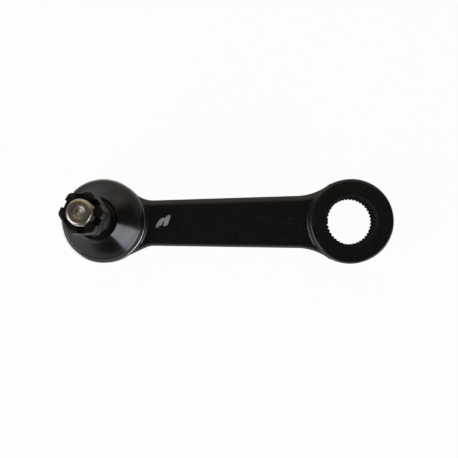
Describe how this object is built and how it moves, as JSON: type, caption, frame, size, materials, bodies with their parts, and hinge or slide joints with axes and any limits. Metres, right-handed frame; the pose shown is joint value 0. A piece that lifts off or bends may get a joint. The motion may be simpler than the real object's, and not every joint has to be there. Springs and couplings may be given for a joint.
{
  "type": "pitman arm",
  "caption": "Forged steering arm with a serrated taper eye at one end and a ball joint with dust boot, taper stud and slotted nut at the other.",
  "frame": {"origin": "middle of the serrated bore, on its axis", "axes": "+Z along the bore towards the stud's side, -X towards the ball joint, +Y to the left when looking from the ball joint to the eye"},
  "size_m": [0.2093, 0.054, 0.0906],
  "materials": {
    "black_paint": "satin black paint over a shot-blasted forging",
    "stud_steel": "turned bright steel",
    "black_oxide": "black oxide",
    "boot_rubber": "moulded, semi-gloss",
    "ring_wire": "blackened spring wire",
    "ring_steel": "zinc plated",
    "seat_plastic": "natural acetal",
    "spring_steel": "oiled spring steel",
    "cover_steel": "black phosphate"
  },
  "bodies": {
    "arm": {"arm": "black_paint", "end_cover": "cover_steel", "preload_spring": "spring_steel", "upper_seat": "seat_plastic", "boot_clamp_ring": "ring_wire"},
    "ball_seat": {"lower_seat": "seat_plastic", "dust_boot": "boot_rubber"},
    "boot_neck": {"boot_neck_ring": "ring_steel"},
    "stud": {"ball_stud": "stud_steel", "slotted_nut": "black_oxide"}
  },
  "joints": [
    {"name": "seat_turn", "type": "hinge", "parent": "arm", "child": "ball_seat", "pos_m": [-0.156, 0, 0.0075], "axis": [0, 0, 1], "continuous": true},
    {"name": "stud_tilt", "type": "hinge", "parent": "ball_seat", "child": "boot_neck", "pos_m": [-0.156, 0, 0.0075], "axis": [-0.3584, -0.9336, 0], "range_deg": [-28.6, 11.4], "deforming": ["dust_boot"]},
    {"name": "stud_spin", "type": "hinge", "parent": "boot_neck", "child": "stud", "pos_m": [-0.156, 0, 0.0075], "axis": [-0.1396, 0.0536, 0.9888], "continuous": true}
  ]
}
